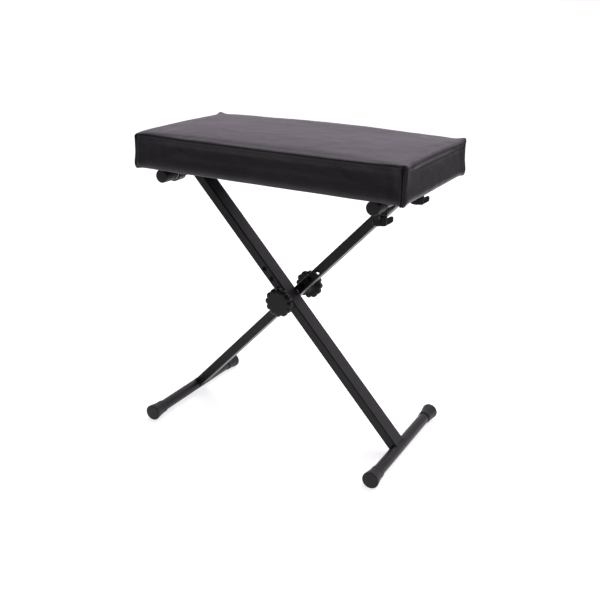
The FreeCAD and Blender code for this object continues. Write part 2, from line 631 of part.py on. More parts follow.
lining_sheet = box("lining_sheet", f"2 * {OPENING_HALF_LENGTH}", f"2 * {OPENING_HALF_WIDTH}",
                   "sizes.cover_thick", f"-{OPENING_HALF_LENGTH}", f"-{OPENING_HALF_WIDTH}", UNDERSIDE_Z)
LINING_HOLE_Z = f"({UNDERSIDE_Z} - sizes.overlap)"
lining_holes = [cylinder(f"lining_hole_{step}", "sizes.screw_radius", "sizes.margin", x, y, LINING_HOLE_Z)
                for step, (x, y) in enumerate(BRACKET_SCREWS)]
sub_part(cut("seat_lining", lining_sheet, lining_holes), "seat_lining")


# Staples: a back under the flap and two legs up into the board
def staple(step, x, y, along_x):
    width = "sizes.staple_width"
    wire = "sizes.staple_wire"
    half = f"({width} / 2)"
    start = f"{UNDERSIDE_Z} - {wire}"
    x0 = f"{x} - {half}" if along_x else f"{x} - {wire} / 2"
    y0 = f"{y} - {wire} / 2" if along_x else f"{y} - {half}"
    far = f" + {width} - {wire}"
    length = width if along_x else wire
    breadth = wire if along_x else width
    back = box(f"staple_back_{step}", length, breadth, wire, x0, y0, start)
    near_leg = box(f"staple_leg_a_{step}", wire, wire, "sizes.staple_leg", x0, y0, start)
    far_leg = box(f"staple_leg_b_{step}", wire, wire, "sizes.staple_leg",
                  x0 + (far if along_x else ""), y0 + ("" if along_x else far), start)
    return fuse(f"staple_{step}", [back, near_leg, far_leg])


STAPLE_X = f"({BOARD_HALF_LENGTH} - sizes.flap_width / 2)"
STAPLE_Y = f"({BOARD_HALF_WIDTH} - sizes.flap_width / 2)"
staple_places = [(f"{step} * sizes.staple_pitch", sign + STAPLE_Y, True) for sign in ("-", "")
                 for step in range(-STAPLES_BESIDE_MIDDLE, STAPLES_BESIDE_MIDDLE + 1)]
staple_places += [(sign + STAPLE_X, f"{step} * sizes.staple_pitch", False) for sign in ("-", "")
                  for step in range(-END_STAPLES_BESIDE_MIDDLE, END_STAPLES_BESIDE_MIDDLE + 1)]
group("staples", [staple(step, *place) for step, place in enumerate(staple_places)])


# Saddles on the left top tube: the seat hinges here. A strap below, lined by a bush.
def saddle(end_name, side):
    name = f"saddle_{end_name}"
    y0 = f"({side} * sizes.bracket_y - sizes.strap_width / 2)"
    middle = LEFT_TOP_X
    wide = "sizes.strap_width"
    ears = box(name + "_ears", f"2 * ({STRAP_OUTER} + sizes.strap_ear)", wide, "sizes.strap_thick",
               f"{middle} - {STRAP_OUTER} - sizes.strap_ear", y0, f"{UNDERSIDE_Z} - sizes.strap_thick")
    walls = box(name + "_walls", f"2 * {STRAP_OUTER}", wide, "sizes.seat_gap",
                f"{middle} - {STRAP_OUTER}", y0, TOP_Z)
    round_part = cylinder(name + "_round", STRAP_OUTER, wide, middle, y0, TOP_Z, TOWARDS_BACK)
    slot = box(name + "_slot", f"2 * {STRAP_INNER}", wide, "sizes.seat_gap + sizes.overlap",
               f"{middle} - {STRAP_INNER}", y0, TOP_Z)
    hole = cylinder(name + "_hole", STRAP_INNER, wide, middle, y0, TOP_Z, TOWARDS_BACK)
    screw_holes = [cylinder(f"{name}_screw_{step}", "sizes.screw_radius", "sizes.margin", x, y,
                            f"{UNDERSIDE_Z} - sizes.strap_thick - sizes.overlap")
                   for step, (x, y) in enumerate(SADDLE_SCREWS) if y.startswith(str(side))]
    above = box(name + "_above", f"2 * {STRAP_OUTER}", wide, "sizes.margin",
                f"{middle} - {STRAP_OUTER}", y0, UNDERSIDE_Z)
    blank = fuse(name + "_blank", [ears, walls, round_part])
    sub_part(cut(name, blank, [slot, hole, above] + screw_holes), name)

    bush = f"saddle_bush_{end_name}"
    block = box(bush + "_block", f"2 * {STRAP_INNER}", wide, "sizes.seat_gap",
                f"{middle} - {STRAP_INNER}", y0, TOP_Z)
    ring = cylinder(bush + "_ring", STRAP_INNER, wide, middle, y0, TOP_Z, TOWARDS_BACK)
    bush_bore = cylinder(bush + "_bore", "sizes.tube_radius + sizes.running_gap", wide,
                         middle, y0, TOP_Z, TOWARDS_BACK)
    sub_part(cut(bush, fuse(bush + "_blank", [block, ring]), [bush_bore]), bush)


# Hooks on the right top tube: open outwards, with the wing screw's nut under the lip
def hook(end_name, side):
    name = f"hook_{end_name}"
    wide = "sizes.hook_width"
    y0 = f"({side} * sizes.bracket_y - {wide} / 2)"
    thick = "sizes.hook_thick"
    web_x = f"({RIGHT_TOP_X} - {HOOK_OUTER})"
    flange = box(name + "_flange", f"sizes.hook_flange + {thick}", wide, thick,
                 f"{web_x} - sizes.hook_flange", y0, f"{UNDERSIDE_Z} - {thick}")
    web = box(name + "_web", thick, wide, "sizes.seat_gap", web_x, y0, TOP_Z)
    bend = cylinder(name + "_bend", HOOK_OUTER, wide, RIGHT_TOP_X, y0, TOP_Z, TOWARDS_BACK)
    bore = cylinder(name + "_bore", HOOK_INNER, wide, RIGHT_TOP_X, y0, TOP_Z, TOWARDS_BACK)
    over_bend = box(name + "_over_bend", f"2 * {HOOK_OUTER}", wide, HOOK_OUTER, web_x, y0, TOP_Z)
    beside_bend = box(name + "_beside_bend", HOOK_OUTER, wide, f"2 * {HOOK_OUTER}",
                      RIGHT_TOP_X, y0, f"{TOP_Z} - {HOOK_OUTER}")
    quarter = cut(name + "_quarter", bend, [bore, over_bend, beside_bend])
    lip = box(name + "_lip", "sizes.hook_lip", wide, thick, RIGHT_TOP_X, y0, f"{TOP_Z} - {HOOK_OUTER}")
    stud_hole = cylinder(name + "_stud_hole", "sizes.stud_radius + sizes.thread_gap", "sizes.margin",
                         RIGHT_TOP_X, f"{side} * sizes.bracket_y", f"{NUT_Z} + sizes.overlap")
    screw_holes = [cylinder(f"{name}_screw_{step}", "sizes.screw_radius", "sizes.margin", x, y,
                            f"{UNDERSIDE_Z} - {thick} - sizes.overlap")
                   for step, (x, y) in enumerate(HOOK_SCREWS) if y.startswith(str(side))]
    blank = fuse(name + "_blank", [flange, web, quarter, lip])
    return sub_part(cut(name, blank, [stud_hole] + screw_holes), name)


# Wing screws under the hooks: a moulded handle with two wings on a threaded stud
def wing_screw(end_name, side):
    name = f"wing_handle_{end_name}"
    y = f"{side} * sizes.bracket_y"
    top = "sizes.wing_height"
    reach = "sizes.wing_reach"
    wings = new_body(name + "_wings")
    profile = sketch_on(wings, "XZ_Plane", name + "_profile")
    draw_outline(profile, [
        (f"-{reach}", "sizes.wing_tip_low"),
        ("-sizes.wing_foot", "0"),
        ("sizes.wing_foot", "0"),
        (reach, "sizes.wing_tip_low"),
        (reach, "sizes.wing_tip_high"),
        ("sizes.wing_peak_reach", "sizes.wing_peak"),
        ("sizes.wing_saddle_reach", "sizes.wing_saddle"),
        ("-sizes.wing_saddle_reach", "sizes.wing_saddle"),
        ("-sizes.wing_peak_reach", "sizes.wing_peak"),
        (f"-{reach}", "sizes.wing_tip_high")])
    pad(wings, profile, "sizes.wing_thick", both_ways=True)
    hub = cylinder(name + "_hub", "sizes.wing_hub_radius", f"{top} + sizes.wing_drop - sizes.wing_gap")
    stud_seat = cylinder(name + "_stud_seat", "sizes.stud_radius", f"{top} + sizes.wing_drop",
                         "0", "0", "sizes.stud_floor")
    handle = cut(name, fuse(name + "_blank", [wings, hub]), [stud_seat])
    put(handle, RIGHT_TOP_X, y, f"{WING_Z} - {top}", FreeCAD.Rotation(Vector(0, 0, 1), 1))
    handle.setExpression("Placement.Rotation.Angle", "sizes.wing_turn")
    sub_part(handle, name)
    stud_z = f"({WING_Z} - {top} + sizes.stud_floor)"
    stud = cylinder(f"wing_stud_{end_name}", "sizes.stud_radius", f"{TOP_Z} - {HOOK_INNER} - {stud_z}",
                    RIGHT_TOP_X, y, stud_z)
    sub_part(stud, f"wing_stud_{end_name}")


def weld_nut(end_name, side):
    y = f"{side} * sizes.bracket_y"
    blank = hexagon(f"weld_nut_{end_name}", "sizes.weld_nut_half", "sizes.weld_nut_height",
                    RIGHT_TOP_X, y, NUT_Z)
    thread = cylinder(f"weld_nut_thread_{end_name}", "sizes.stud_radius + sizes.thread_gap",
                      "sizes.margin", RIGHT_TOP_X, y, f"{NUT_Z} - sizes.overlap")
    return cut(f"weld_nut_cut_{end_name}", blank, [thread])


weld_nuts = []
for end_name, side in (("front", -1), ("rear", 1)):
    saddle(end_name, side)
    hook(end_name, side)
    wing_screw(end_name, side)
    weld_nuts.append(weld_nut(end_name, side))
group("hook_weld_nuts", weld_nuts)


# Bracket screws: pan heads below the brackets, threads up into the tee nuts
def bracket_screw(name, x, y, plate):
    seat = f"({UNDERSIDE_Z} - {plate})"
    head = cylinder(name + "_head", "sizes.screw_head_radius", "sizes.screw_head_thick",
                    x, y, f"{seat} - sizes.screw_head_thick")
    socket = hexagon(name + "_socket", "sizes.screw_socket", "sizes.screw_head_thick", x, y,
                     f"{seat} - sizes.screw_head_thick - sizes.overlap")
    shank = cylinder(name + "_shank", "sizes.screw_radius", "sizes.screw_length", x, y, seat)
    return cut(name, fuse(name + "_blank", [head, shank]), [socket])


group("saddle_screws", [bracket_screw(f"saddle_screw_{step}", x, y, "sizes.strap_thick")
                        for step, (x, y) in enumerate(SADDLE_SCREWS)])
group("hook_screws", [bracket_screw(f"hook_screw_{step}", x, y, "sizes.hook_thick")
                      for step, (x, y) in enumerate(HOOK_SCREWS)])

doc.recompute()

# Checks before anything is written
for item in doc.Objects:
    bad = [state for state in item.State if state in ("Invalid", "Error")]
    assert not bad, f"{item.Name} is {bad}"
for item in sub_parts:
    assert not item.Shape.isNull(), f"{item.Label} is empty"
    assert item.Shape.isValid(), f"{item.Label} is not valid"
    assert item.Shape.Volume > 0, f"{item.Label} has no volume"

for item in sub_parts:
    item.Shape.exportStep(f"parts/{item.Label}.step")
print(len(sub_parts), "sub-parts written")
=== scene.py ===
import math
from types import SimpleNamespace

import bmesh
import bpy
import numpy as np
from mathutils import Matrix, Vector, noise


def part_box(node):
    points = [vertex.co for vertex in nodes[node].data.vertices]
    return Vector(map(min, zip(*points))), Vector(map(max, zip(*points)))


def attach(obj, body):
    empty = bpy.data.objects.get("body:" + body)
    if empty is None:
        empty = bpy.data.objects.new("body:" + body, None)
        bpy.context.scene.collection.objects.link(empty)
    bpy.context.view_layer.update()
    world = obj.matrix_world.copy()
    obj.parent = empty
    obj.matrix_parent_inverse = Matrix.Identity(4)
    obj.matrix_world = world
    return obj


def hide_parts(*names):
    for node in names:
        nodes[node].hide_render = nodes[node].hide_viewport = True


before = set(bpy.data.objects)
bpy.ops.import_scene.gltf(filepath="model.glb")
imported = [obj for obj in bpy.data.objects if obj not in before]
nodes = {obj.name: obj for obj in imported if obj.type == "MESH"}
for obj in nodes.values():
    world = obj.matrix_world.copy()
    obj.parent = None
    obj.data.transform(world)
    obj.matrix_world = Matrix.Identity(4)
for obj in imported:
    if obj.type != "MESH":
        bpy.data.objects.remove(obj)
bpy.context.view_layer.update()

# Where the viewer stands. The bench is seen from its front right, from a little above,
# with the camera leaning slightly to one side.
camera_azimuth = math.radians(28.36)
camera_elevation = math.radians(20.877)
camera_roll = math.radians(1.263)
camera_distance = 1.39664
aim_point = Vector((0.00656, 0.0, 0.22856))
picture_side = 600
focal_pixels = 829.8
sensor_width = 36.0

towards_camera = Vector((
    math.sin(camera_azimuth) * math.cos(camera_elevation),
    -math.cos(camera_azimuth) * math.cos(camera_elevation),
    math.sin(camera_elevation)))
level_right = (-towards_camera).cross(Vector((0, 0, 1))).normalized()
level_up = level_right.cross(-towards_camera)
camera_right = math.cos(camera_roll) * level_right + math.sin(camera_roll) * level_up
camera_up = math.cos(camera_roll) * level_up - math.sin(camera_roll) * level_right


def put_in_scene(name, data):
    item = bpy.data.objects.new(name, data)
    bpy.context.scene.collection.objects.link(item)
    return item


camera_data = bpy.data.cameras.new("camera")
camera_data.sensor_fit = "HORIZONTAL"
camera_data.sensor_width = sensor_width
camera_data.lens = focal_pixels / picture_side * sensor_width
camera = put_in_scene("camera", camera_data)
stand = Matrix((camera_right, camera_up, towards_camera)).transposed().to_4x4()
stand.translation = aim_point + towards_camera * camera_distance
camera.matrix_world = stand
bpy.context.scene.camera = camera
bpy.context.scene.view_settings.view_transform = "Standard"


# Studio: a pale floor that is dark in front and on the right, a large soft lamp overhead,
# a soft lamp on the right, and a bright surround behind that fades to a dim one in front.
floor_half = 60.0
front_shade_start = -1.05
front_shade_end = -0.42
right_shade_start = 0.62
right_shade_end = 0.95
right_shade_lean = 0.171
pale_floor = (0.86, 0.86, 0.87, 1)
dark_floor = (0.12, 0.12, 0.12, 1)
pale_glow = (0.70, 0.70, 0.70, 1)
dark_glow = (0.02, 0.02, 0.02, 1)
surround_in_front = (0.104, 0.112, 0.112, 1)
surround_behind = (1.055, 0.925, 1.07, 1)


class Signal:
    """One output of a material's node tree, so that shader maths reads as an expression."""

    def __init__(self, finish, socket):
        self.finish = finish
        self.socket = socket

    def maths(self, operation, *values):
        sockets = dict(enumerate(values))
        return self.finish.node("Math", {"operation": operation}, sockets)

    def __add__(self, other):
        return self.maths("ADD", self, other)

    def __mul__(self, other):
        return self.maths("MULTIPLY", self, other)

    def __rsub__(self, other):
        return self.maths("SUBTRACT", other, self)


class Finish:
    """A node tree that is built up by name: a material's, or the world's."""

    def __init__(self, tree):
        self.tree = tree

    def link(self, socket, value):
        if isinstance(value, Signal):
            self.tree.links.new(value.socket, socket)
        else:
            socket.default_value = value

    def node(self, kind, settings=None, sockets=None, output=0):
        item = self.tree.nodes.new("ShaderNode" + kind)
        for name, value in (settings or {}).items():
            setattr(item, name, value)
        for name, value in (sockets or {}).items():
            self.link(item.inputs[name], value)
        return Signal(self, item.outputs[output])

    def along(self, place, axis):
        """One coordinate of a place: 0 across, 1 in depth, 2 in height."""
        return self.node("SeparateXYZ", {}, {0: place}, output=axis)

    def span(self, value, low, high, to_low=0.0, to_high=1.0):
        """Carry a value from one range to another, smoothly, and hold it at the ends."""
        return self.node("MapRange", {"interpolation_type": "SMOOTHSTEP"}, {
            "Value": value, "From Min": low, "From Max": high, "To Min": to_low, "To Max": to_high})

    def blend(self, factor, first, second):
        return self.node("Mix", {"data_type": "RGBA"}, {0: factor, 6: first, 7: second}, output=2)

    def grain(self, place, scale, detail=2.0, roughness=0.5):
        return self.node("TexNoise", {}, {
            "Vector": place, "Scale": scale, "Detail": detail, "Roughness": roughness})

    def cells(self, place, scale, feature="F1"):
        return self.node("TexVoronoi", {"feature": feature}, {"Vector": place, "Scale": scale})


def new_finish(name, **surface):
    """A material with its surface values set on the shader's own sockets."""
    material = bpy.data.materials.new(name)
    material.use_nodes = True
    finish = Finish(material.node_tree)
    finish.material = material
    finish.skin = material.node_tree.nodes["Principled BSDF"].inputs
    for socket, value in surface.items():
        finish.skin[socket.replace("_", " ")].default_value = value
    finish.place = finish.node("TexCoord", output=3)
    return finish


def feed(finish, **values):
    for socket, value in values.items():
        finish.link(finish.skin[socket.replace("_", " ")], value)


def relief(finish, height, depth, under=None):
    """A bump of this real depth, on top of another bump if there is one."""
    sockets = {"Height": height, "Distance": depth, "Strength": 1.0}
    if under is not None:
        sockets["Normal"] = under
    return finish.node("Bump", {}, sockets)


def covered(name, mesh, material, sharp_angle):
    """A smooth piece in one material, whose edges past sharp_angle stay crisp."""
    mesh.materials.append(material)
    mesh.shade_smooth()
    mesh.set_sharp_from_angle(angle=math.radians(sharp_angle))
    return put_in_scene(name, mesh)


def new_piece(name, points, faces, material, sharp_angle=40.0):
    mesh = bpy.data.meshes.new(name)
    mesh.from_pydata([tuple(point) for point in points], [], faces)
    mesh.validate()
    return covered(name, mesh, material, sharp_angle)


floor_finish = new_finish("studio_floor", Roughness=0.9, Specular_IOR_Level=0.1, Emission_Strength=1.0)
floor_x = floor_finish.along(floor_finish.place, 0)
floor_y = floor_finish.along(floor_finish.place, 1)
lit_in_depth = floor_finish.span(floor_y, front_shade_start, front_shade_end)
lit_across = floor_finish.span(
    floor_x + floor_y * right_shade_lean, right_shade_start, right_shade_end, to_low=1.0, to_high=0.0)
feed(floor_finish,
     Base_Color=floor_finish.blend(lit_across, dark_floor, pale_floor),
     Emission_Color=floor_finish.blend(lit_in_depth * lit_across, dark_glow, pale_glow))
floor = new_piece("floor", [
    (-floor_half, -floor_half, 0), (floor_half, -floor_half, 0),
    (floor_half, floor_half, 0), (-floor_half, floor_half, 0)], [(0, 1, 2, 3)], floor_finish.material)

world = bpy.data.worlds.new("studio")
bpy.context.scene.world = world
world.use_nodes = True
surround = Finish(world.node_tree)
behind = surround.span(surround.along(surround.node("TexCoord"), 1), low=-0.25, high=0.75)
surround_colour = surround.blend(behind, surround_in_front, surround_behind)
surround.link(world.node_tree.nodes["Background"].inputs["Color"], surround_colour)


def soft_lamp(name, place, target, size, power):
    lamp = bpy.data.lights.new(name, "AREA")
    lamp.shape = "SQUARE"
    lamp.size = size
    lamp.energy = power
    item = put_in_scene(name, lamp)
    item.location = place
    item.rotation_euler = (Vector(target) - Vector(place)).to_track_quat("-Z", "Y").to_euler()


soft_lamp("overhead", place=(0.1, 0.5, 2.1), target=(0.0, 0.1, 0.2), size=1.6, power=20.0)
soft_lamp("right_side", place=(1.9, 0.1, 0.9), target=(0.1, 0.0, 0.3), size=0.9, power=4.0)


# Frame tubes and seat brackets: welded steel tube and pressed plate, powder coated black.
# The coat is satin, with a fine orange peel, a thin dusting and slightly burnished patches.
coat_colour = (0.0088, 0.0094, 0.0098, 1)
coat_dust = (0.0165, 0.0172, 0.0175, 1)
coat_satin = 0.31
coat_sheen_spread = 0.14
coat_rubbed_spread = 0.08


def powder_coat(name):
    finish = new_finish(name, Specular_IOR_Level=0.25)
    peel = finish.grain(finish.place, scale=1500.0, detail=3.0)
    wide = finish.grain(finish.place, scale=22.0, detail=4.0, roughness=0.6)
    sheen = finish.grain(finish.place, scale=60.0, detail=3.0)
    rubbed = finish.span(wide, low=0.42, high=0.72)
    feed(finish,
         Base_Color=finish.blend(rubbed, coat_colour, coat_dust),
         Roughness=sheen * coat_sheen_spread + rubbed * coat_rubbed_spread + coat_satin,
         Normal=relief(finish, peel, depth=0.00012))
    return finish.material


def dress(names, material):
    for name in names:
        mesh = nodes[name].data
        mesh.materials.clear()
        mesh.materials.append(material)


frame_coat = powder_coat("black_powder_coat")
dress(["front_leg", "rear_leg", "left_top_tube", "right_top_tube", "left_foot_tube",
       "right_foot_tube", "hook_front", "hook_rear", "hook_weld_nuts", "saddle_front",
       "saddle_rear"], frame_coat)


# Weld beads where each leg's coped end sits on its round tube: short overlapping runs of
# metal along the seam, painted over with the rest of the frame.
tube_radius = 0.0095
half_leg_width = 0.008
half_leg_depth = 0.015
seam_steps = 8
bead_radius = 0.0013
bead_step = 0.0011
least_bead = 0.82
most_bead = 1.15
bead_seed = 4


def bead_tree(material):
    tree = bpy.data.node_groups.new("weld_bead", "GeometryNodeTree")
    face = tree.interface
    face.new_socket("Geometry", in_out="OUTPUT", socket_type="NodeSocketGeometry")
    face.new_socket("Seam", in_out="INPUT", socket_type="NodeSocketGeometry")
    face.new_socket("Bead radius", in_out="INPUT", socket_type="NodeSocketFloat")
    face.new_socket("Bead step", in_out="INPUT", socket_type="NodeSocketFloat")
    make = tree.nodes.new
    join = tree.links.new
    given = make("NodeGroupInput")
    seam = make("GeometryNodeMeshToCurve")
    spaced = make("GeometryNodeResampleCurve")
    spaced.mode = "LENGTH"
    drop = make("GeometryNodeMeshIcoSphere")
    drop.inputs["Subdivisions"].default_value = 2
    placed = make("GeometryNodeInstanceOnPoints")
    sizes = make("FunctionNodeRandomValue")
    sizes.data_type = "FLOAT"
    sizes.inputs[2].default_value = least_bead
    sizes.inputs[3].default_value = most_bead
    sizes.inputs["Seed"].default_value = bead_seed
    real = make("GeometryNodeRealizeInstances")
    coated = make("GeometryNodeSetMaterial")
    coated.inputs["Material"].default_value = material
    result = make("NodeGroupOutput")
    join(given.outputs["Seam"], seam.inputs["Mesh"])
    join(seam.outputs["Curve"], spaced.inputs["Curve"])
    join(given.outputs["Bead step"], spaced.inputs["Length"])
    join(given.outputs["Bead radius"], drop.inputs["Radius"])
    join(spaced.outputs["Curve"], placed.inputs["Points"])
    join(drop.outputs["Mesh"], placed.inputs["Instance"])
    join(sizes.outputs[1], placed.inputs["Scale"])
    join(placed.outputs["Instances"], real.inputs["Geometry"])
    join(real.outputs["Geometry"], coated.inputs["Geometry"])
    join(coated.outputs["Geometry"], result.inputs["Geometry"])
    return tree


def applied(piece):
    """Replace a piece's mesh by what its modifiers make of it."""
    bpy.context.view_layer.update()
    shape = bpy.data.meshes.new_from_object(piece.evaluated_get(bpy.context.evaluated_depsgraph_get()))
    piece.modifiers.clear()
    piece.data = shape
    return shape


def grow(piece, tree, **amounts):
    """Run a geometry tree on a piece and keep its result as a plain mesh."""
    modifier = piece.modifiers.new("growth", "NODES")
    modifier.node_group = tree
    for socket in tree.interface.items_tree:
        key = socket.name.lower().replace(" ", "_")
        if key in amounts:
            modifier[socket.identifier] = amounts[key]
    applied(piece).shade_smooth()


def seam_loop(tube_centre, along, middle_y):
    """The closed line where a leg's outer faces meet its round tube."""
    across = Vector((-along.z, 0, along.x))
    offsets = [half_leg_width * (2 * step / seam_steps - 1) for step in range(seam_steps + 1)]
    loop = []
    for side, walk in ((-1, offsets), (1, offsets[::-1])):
        for offset in walk:
            rise = math.sqrt(tube_radius ** 2 - offset ** 2)
            point = tube_centre + along * rise + across * offset
            loop.append(point + Vector((0, middle_y + side * half_leg_depth, 0)))
    return loop


def middle_of(node):
    """The middle of a tube's length, taken at the middle of the bench's depth."""
    low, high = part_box(node)
    centre = (low + high) / 2
    return Vector((centre.x, 0, centre.z))


bead_shape = bead_tree(frame_coat)


def leg_welds(name, leg, foot_tube, top_tube, body):
    low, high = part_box(leg)
    middle_y = (low.y + high.y) / 2
    foot = middle_of(foot_tube)
    top = middle_of(top_tube)
    along = (top - foot).normalized()
    points = seam_loop(foot, along, middle_y)
    count = len(points)
    points += seam_loop(top, -along, middle_y)
    mesh = bpy.data.meshes.new(name)
    edges = [(step, (step + 1) % count) for step in range(count)]
    edges += [(count + step, count + (step + 1) % count) for step in range(count)]
    mesh.from_pydata([tuple(point) for point in points], edges, [])
    piece = put_in_scene(name, mesh)
    grow(piece, bead_shape, bead_radius=bead_radius, bead_step=bead_step)
    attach(piece, body)


leg_welds("front_leg_welds", "front_leg", "right_foot_tube", "left_top_tube", "front_frame")
leg_welds("rear_leg_welds", "rear_leg", "left_foot_tube", "right_top_tube", "rear_frame")


# Caps: rubber sleeves pushed over the tubes' ends. The foot caps flare slowly to a rounded
# end, with a small flat where the load presses them to the floor. The top caps are straight,
# with a low collar. Each outline point is (radius, height, rounding).
cap_bore = 0.00955
cap_end_wall = 0.003
foot_cap_length = 0.030
foot_cap_side = [
    (cap_bore, 0.0, 0.0), (0.0109, 0.0, 0.0005), (0.0111, 0.0105, 0.004), (0.0129, 0.0225, 0.005),
    (0.0137, 0.0272, 0.002), (0.0137, foot_cap_length, 0.0014)]
top_cap_length = 0.028
top_cap_side = [
    (cap_bore, 0.0, 0.0), (0.0112, 0.0, 0.0005), (0.0112, 0.0025, 0.0004),
    (0.0107, 0.0033, 0.0004), (0.0107, top_cap_length, 0.0013)]
cap_colour = (0.0115, 0.0115, 0.0120, 1)
scuffed_cap = (0.027, 0.0265, 0.0265, 1)
floor_dust = (0.09, 0.087, 0.082, 1)
cap_roughness = 0.42
scuff_spread = 0.2
corner_limit = 0.49
merge_distance = 1e-6


def eased(profile, steps=4):
    """Round each corner of a closed (radius, height) outline by its third value."""
    points = []
    count = len(profile)
    for place, (radius, height, rounding) in enumerate(profile):
        here = Vector((radius, height))
        before = Vector(profile[place - 1][:2])
        after = Vector(profile[(place + 1) % count][:2])
        if rounding == 0:
            points.append(here)
            continue
        back = (before - here).normalized() * min(rounding, (before - here).length * corner_limit)
        on = (after - here).normalized() * min(rounding, (after - here).length * corner_limit)
        for step in range(steps + 1):
            share = step / steps
            points.append(here + back * (1 - share) ** 2 + on * share ** 2)
    return points


def turned(profile, sides=72):
    """Points and faces of a closed outline turned about the Z axis."""
    points = []
    rings = []
    for radius, height in profile:
        if radius < merge_distance:
            rings.append([len(points)] * sides)
            points.append(Vector((0, 0, height)))
            continue
        start = len(points)
        rings.append(list(range(start, start + sides)))
        for side in range(sides):
            angle = 2 * math.pi * side / sides
            points.append(Vector((radius * math.cos(angle), radius * math.sin(angle), height)))
    faces = []
    for place, ring in enumerate(rings):
        after = rings[(place + 1) % len(rings)]
        for side in range(sides):
            turn = (side + 1) % sides
            corners = []
            for corner in (ring[side], ring[turn], after[turn], after[side]):
                if corner not in corners:
                    corners.append(corner)
            if len(corners) > 2:
                faces.append(tuple(corners))
    return points, faces


def facing(side, place):
    """Carry a shape built along +Z so that +Z points to the back (1) or the front (-1)."""
    turn = Matrix.Rotation(math.radians(-90 * side), 4, "X")
    return Matrix.Translation(place) @ turn


def set_outward(piece):
    """Merge doubles and point every face outwards."""
    build = bmesh.new()
    build.from_mesh(piece.data)
    bmesh.ops.remove_doubles(build, verts=build.verts, dist=merge_distance)
    bmesh.ops.recalc_face_normals(build, faces=build.faces)
    build.to_mesh(piece.data)
    build.free()


def rubber(name):
    finish = new_finish(name, Specular_IOR_Level=0.30)
    pores = finish.grain(finish.place, scale=2600.0)
    scuffs = finish.grain(finish.place, scale=180.0, detail=5.0, roughness=0.7)
    worn = finish.span(scuffs, low=0.5, high=0.78, to_high=0.5)
    dusty = finish.span(finish.along(finish.place, 2), low=0.004, high=0.0, to_low=0.0, to_high=0.55)
    feed(finish,
         Base_Color=finish.blend(dusty, finish.blend(worn, cap_colour, scuffed_cap), floor_dust),
         Roughness=scuffs * scuff_spread + cap_roughness,
         Normal=relief(finish, pores, depth=0.00006))
    return finish.material


cap_rubber = rubber("cap_rubber")


def make_cap(node, side_profile, length, body):
    low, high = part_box(node)
    side = 1 if high.y > 0 else -1
    outer_end = high.y if side > 0 else low.y
    tube = node.replace("_cap_front", "_tube").replace("_cap_rear", "_tube")
    place = middle_of(tube)
    place.y = outer_end - side * length
    inner_end = length - cap_end_wall
    profile = side_profile + [(0.0, length, 0.0), (0.0, inner_end, 0.0), (cap_bore, inner_end, 0.0)]
    points, faces = turned(eased(profile))
    stand_here = facing(side, place)
    points = [stand_here @ point for point in points]
    for point in points:
        point.z = max(point.z, 0.0)
    piece = new_piece(node + "_moulding", points, faces, cap_rubber, sharp_angle=50.0)
    set_outward(piece)
    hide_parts(node)
    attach(piece, body)


for end_name in ("front", "rear"):
    make_cap("right_foot_cap_" + end_name, foot_cap_side, foot_cap_length, "front_frame")
    make_cap("left_foot_cap_" + end_name, foot_cap_side, foot_cap_length, "rear_frame")
    make_cap("left_top_cap_" + end_name, top_cap_side, top_cap_length, "front_frame")
    make_cap("right_top_cap_" + end_name, top_cap_side, top_cap_length, "rear_frame")


# Bright hardware: the pivot bolt, washers, screws, tee nuts, studs and staples are zinc-plated
# steel, and the rear knob's insert is brass. The spacer and the saddles' liners are pale nylon.
zinc_colour = (0.56, 0.56, 0.55, 1)
brass_colour = (0.62, 0.47, 0.22, 1)
nylon_colour = (0.55, 0.54, 0.5, 1)
brush_spread = 0.2


def darker(colour, share):
    return tuple(share * value for value in colour[:3]) + (1,)


def plated(name, colour, roughness):
    finish = new_finish(name, Metallic=1.0)
    drawn_out = finish.node("Mapping", {}, {"Vector": finish.place, "Scale": (900.0, 900.0, 5000.0)})
    brushed = finish.grain(drawn_out, scale=1.0, detail=3.0)
    cloudy = finish.grain(finish.place, scale=160.0, detail=3.0)
    feed(finish,
         Base_Color=finish.blend(finish.span(cloudy, low=0.4, high=0.7), colour, darker(colour, 0.7)),
         Roughness=brushed * brush_spread + roughness,
         Normal=relief(finish, brushed, depth=0.00002))
    return finish.material


def nylon(name, colour):
    finish = new_finish(name, Roughness=0.45, Specular_IOR_Level=0.5)
    cloudy = finish.grain(finish.place, scale=320.0, detail=3.0)
    feed(finish,
         Base_Color=finish.blend(cloudy, colour, darker(colour, 0.8)),
         Normal=relief(finish, cloudy, depth=0.00003))
    return finish.material


dress(["pivot_bolt", "front_washer", "rear_washer", "wing_stud_front", "wing_stud_rear",
       "saddle_screws", "hook_screws", "tee_nuts", "staples"],
      plated("zinc_plate", zinc_colour, roughness=0.28))
dress(["rear_knob_insert"], plated("brass", brass_colour, roughness=0.3))
dress(["leg_spacer", "saddle_bush_front", "saddle_bush_rear"], nylon("nylon", nylon_colour))


# Clamping knobs: moulded plastic with twelve round lobes and a stem next to the leg. The
# faces are smooth and flat, and the lobes are rolled over at both edges.
lobe_count = 12
lobe_ring = 0.0190
lobe_radius = 0.0054
lobe_fade = 0.65
valley_rise = 0.0026
valley_give = 0.0004
stem_radius = 0.0105
stem_length = 0.015
stem_edge = 0.0006
stem_fillet = 0.0012
back_dip = 0.0002
knob_thickness = 0.012
knob_round = 0.0042
back_round = knob_round * 0.6
face_dip = 0.0001
face_rings = [(0.0158, 0.0), (0.0105, face_dip), (0.0052, face_dip)]
sides_of_lobe = 18
plastic_colour = (0.0072, 0.0073, 0.0077, 1)
handled_plastic = (0.0125, 0.0126, 0.0134, 1)
plastic_roughness = 0.40
flow_spread = 0.16


